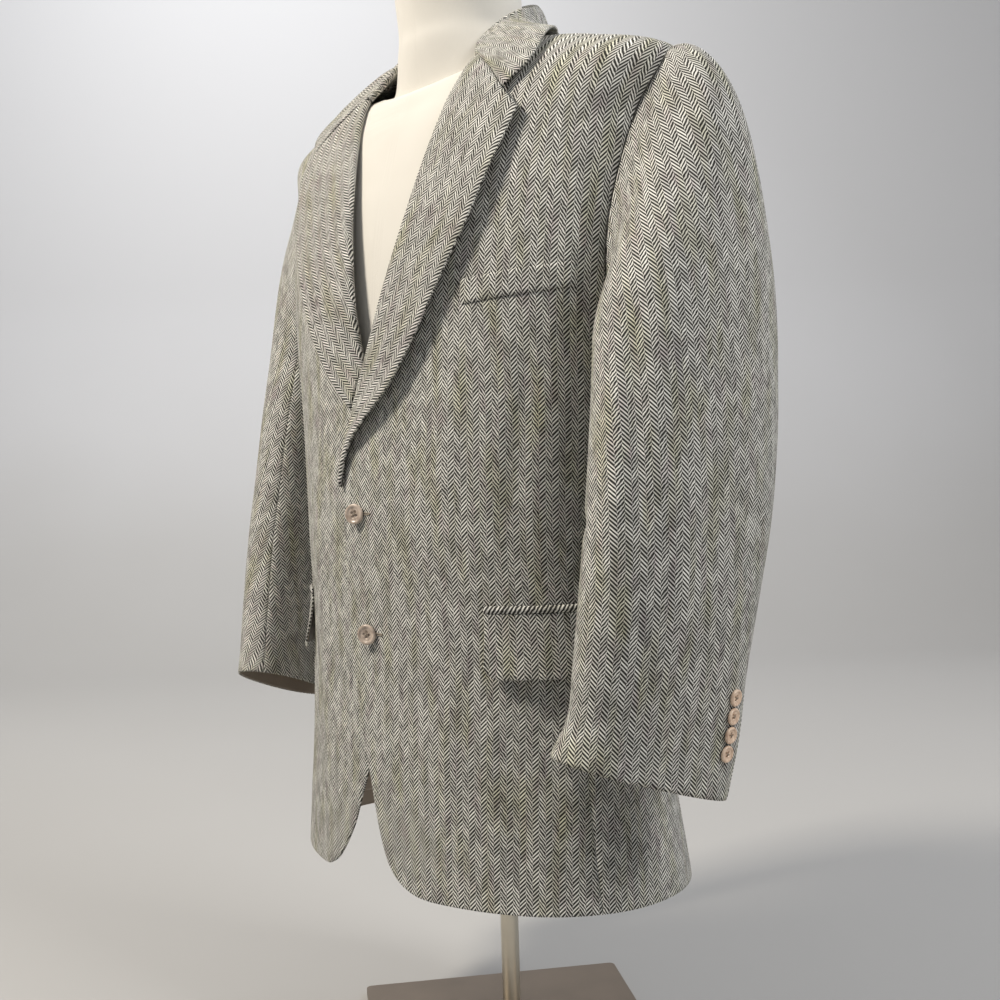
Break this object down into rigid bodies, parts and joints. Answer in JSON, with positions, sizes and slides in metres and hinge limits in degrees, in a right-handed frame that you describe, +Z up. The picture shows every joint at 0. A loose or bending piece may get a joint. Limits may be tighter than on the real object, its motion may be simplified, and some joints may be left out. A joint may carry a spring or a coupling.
{
  "type": "tweed hacking jacket on a dress form",
  "caption": "Single-breasted notch-lapel tweed jacket in herringbone cloth, worn open at the neck on a limbless dress form with a steel pole and a flat base.",
  "frame": {"origin": "on the underside of the base, below the middle of the jacket's hem", "axes": "+Z up along the pole, -Y out of the jacket's front, +X to the wearer's left"},
  "size_m": [0.6847, 0.4062, 1.1533],
  "materials": {
    "tweed": "wool herringbone",
    "lining": "smooth twill lining",
    "horn": "polished horn",
    "form_cover": "off-white stretched jersey",
    "steel": "brushed"
  },
  "bodies": {
    "root": {"front_left": "tweed", "side_left": "tweed", "back_left": "tweed", "topsleeve_left": "tweed", "undersleeve_left": "tweed", "lapel_left": "tweed", "hip_jet_left": "tweed", "hip_flap_left": "tweed", "cuff_button_left_1": "horn", "cuff_button_left_2": "horn", "cuff_button_left_3": "horn", "cuff_button_left_4": "horn", "front_right": "tweed", "side_right": "tweed", "back_right": "tweed", "topsleeve_right": "tweed", "undersleeve_right": "tweed", "lapel_right": "tweed", "hip_jet_right": "tweed", "hip_flap_right": "tweed", "cuff_button_right_1": "horn", "cuff_button_right_2": "horn", "cuff_button_right_3": "horn", "cuff_button_right_4": "horn", "collar": "tweed", "chest_welt": "tweed", "skirt_lining": "lining", "front_button_1": "horn", "front_button_2": "horn", "form_torso": "form_cover", "form_pole": "steel", "form_base": "steel"}
  },
  "joints": []
}
